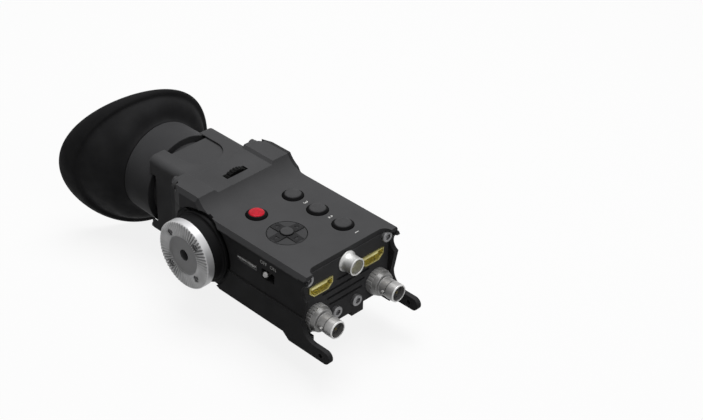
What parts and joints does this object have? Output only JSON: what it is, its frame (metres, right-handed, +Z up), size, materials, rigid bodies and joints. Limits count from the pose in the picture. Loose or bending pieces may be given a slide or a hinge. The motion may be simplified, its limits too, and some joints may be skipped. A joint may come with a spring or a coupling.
{
  "type": "electronic viewfinder",
  "caption": "Camera electronic viewfinder: flat keyed housing with front sockets, toothed side mount, focus wheel, round eyepiece and winged rubber eyecup.",
  "frame": {"origin": "mouth of the toothed disc's threaded bore, on its axis", "axes": "+Y back along the line of sight to the eye, +Z up, -X out of the toothed disc"},
  "size_m": [0.0835, 0.2001, 0.079],
  "materials": {
    "housing_black": "satin anodised charcoal",
    "optics_black": "satin black anodised",
    "soft_rubber": "matte black rubber",
    "key_grey": "fine matte charcoal",
    "record_red": "glossy red",
    "disc_silver": "bright machined",
    "screw_steel": "satin stainless",
    "nickel": "bright nickel plate",
    "socket_gold": "gold flash",
    "insulator_white": "plain",
    "board_green": "solder mask",
    "part_black": "moulded",
    "lens_glass": "blue coated",
    "screen_black": "polished",
    "cable_amber": "polyimide film",
    "sink_aluminium": "plain"
  },
  "bodies": {
    "housing": {"top_cover": "housing_black", "base_tray": "housing_black", "side_plate_right": "housing_black", "side_plate_left": "housing_black", "left_panel": "housing_black", "front_panel": "housing_black", "panel_screws": "screw_steel", "case_screws": "screw_steel", "video_socket_left": "nickel", "video_socket_right": "nickel", "video_tongues": "part_black", "coax_jack_left": "nickel", "coax_jack_right": "nickel", "coax_nuts": "nickel", "coax_insulators": "insulator_white", "coax_contacts": "socket_gold", "power_socket": "nickel", "power_insert": "part_black", "power_contacts": "socket_gold", "port_board": "board_green", "card_slot_shell": "nickel", "card_slot_tongue": "part_black", "button_board": "board_green", "key_domes": "screw_steel", "board_pillars": "socket_gold", "lever_switch": "part_black", "disc_boss": "housing_black", "toothed_disc": "disc_silver", "disc_screws": "screw_steel", "boss_screws": "screw_steel", "eyepiece_block": "housing_black", "block_screws": "screw_steel", "lug_screws": "screw_steel", "eyepiece_barrel": "optics_black", "eye_lens": "lens_glass", "lens_ring": "optics_black", "guide_rod": "screw_steel", "wheel_bracket": "part_black", "display_module": "screen_black", "display_glass": "screen_black", "display_cable": "cable_amber", "main_board": "board_green", "heat_spreader": "sink_aluminium", "board_screws": "screw_steel"},
    "key_1": {"key_1": "key_grey"},
    "key_2": {"key_2": "key_grey"},
    "key_3": {"key_3": "key_grey"},
    "record_button": {"record_key": "key_grey", "record_cap": "record_red"},
    "pad_gimbal": {"pad_gimbal": "part_black"},
    "pad_ring": {"pad_ring": "key_grey"},
    "centre_key": {"centre_key": "key_grey"},
    "power_lever": {"power_lever": "nickel"},
    "focus_wheel": {"thumbwheel": "part_black", "lead_screw": "screw_steel"},
    "focus_carriage": {"lens_carriage": "optics_black", "carriage_lens": "lens_glass", "carriage_ring": "optics_black"},
    "eyecup": {"eyecup_ring": "part_black", "eyecup": "soft_rubber"}
  },
  "joints": [
    {"name": "key_1_press", "type": "slide", "parent": "housing", "child": "key_1", "axis": [0, 0, -1], "range_m": [0, 0.0008], "stiffness_N_per_m": 1200},
    {"name": "key_2_press", "type": "slide", "parent": "housing", "child": "key_2", "axis": [0, 0, -1], "range_m": [0, 0.0008], "stiffness_N_per_m": 1200},
    {"name": "key_3_press", "type": "slide", "parent": "housing", "child": "key_3", "axis": [0, 0, -1], "range_m": [0, 0.0008], "stiffness_N_per_m": 1200},
    {"name": "record_press", "type": "slide", "parent": "housing", "child": "record_button", "axis": [0, 0, -1], "range_m": [0, 0.0008], "stiffness_N_per_m": 1200},
    {"name": "centre_press", "type": "slide", "parent": "housing", "child": "centre_key", "axis": [0, 0, -1], "range_m": [0, 0.0006], "stiffness_N_per_m": 1200},
    {"name": "pad_tilt_front_back", "type": "hinge", "parent": "housing", "child": "pad_gimbal", "pos_m": [0.031, -0.0418, 0.0172], "axis": [1, 0, 0], "range_deg": [-2, 2], "stiffness_Nm_per_rad": 0.3},
    {"name": "pad_tilt_left_right", "type": "hinge", "parent": "pad_gimbal", "child": "pad_ring", "pos_m": [0.031, -0.0418, 0.0172], "axis": [0, 1, 0], "range_deg": [-2, 2], "stiffness_Nm_per_rad": 0.3},
    {"name": "power_lever_swing", "type": "hinge", "parent": "housing", "child": "power_lever", "pos_m": [0.0191, -0.04885, 0.0072], "axis": [0, 0, 1], "range_deg": [0, 29]},
    {"name": "focus_wheel_turn", "type": "hinge", "parent": "housing", "child": "focus_wheel", "pos_m": [0.0431, 0.0091, 0.0178], "axis": [0, 1, 0], "range_deg": [-155, 155]},
    {"name": "focus_slide", "type": "slide", "parent": "housing", "child": "focus_carriage", "axis": [0, 1, 0], "range_m": [-0.003, 0.003]},
    {"name": "eyecup_turn", "type": "hinge", "parent": "housing", "child": "eyecup", "pos_m": [0.0431, 0.0717, 0.0021], "axis": [0, 1, 0], "continuous": true}
  ],
  "couplings": [
    {"joint": "focus_wheel_turn", "follows": "focus_slide", "rad_per_m": 877.19}
  ]
}
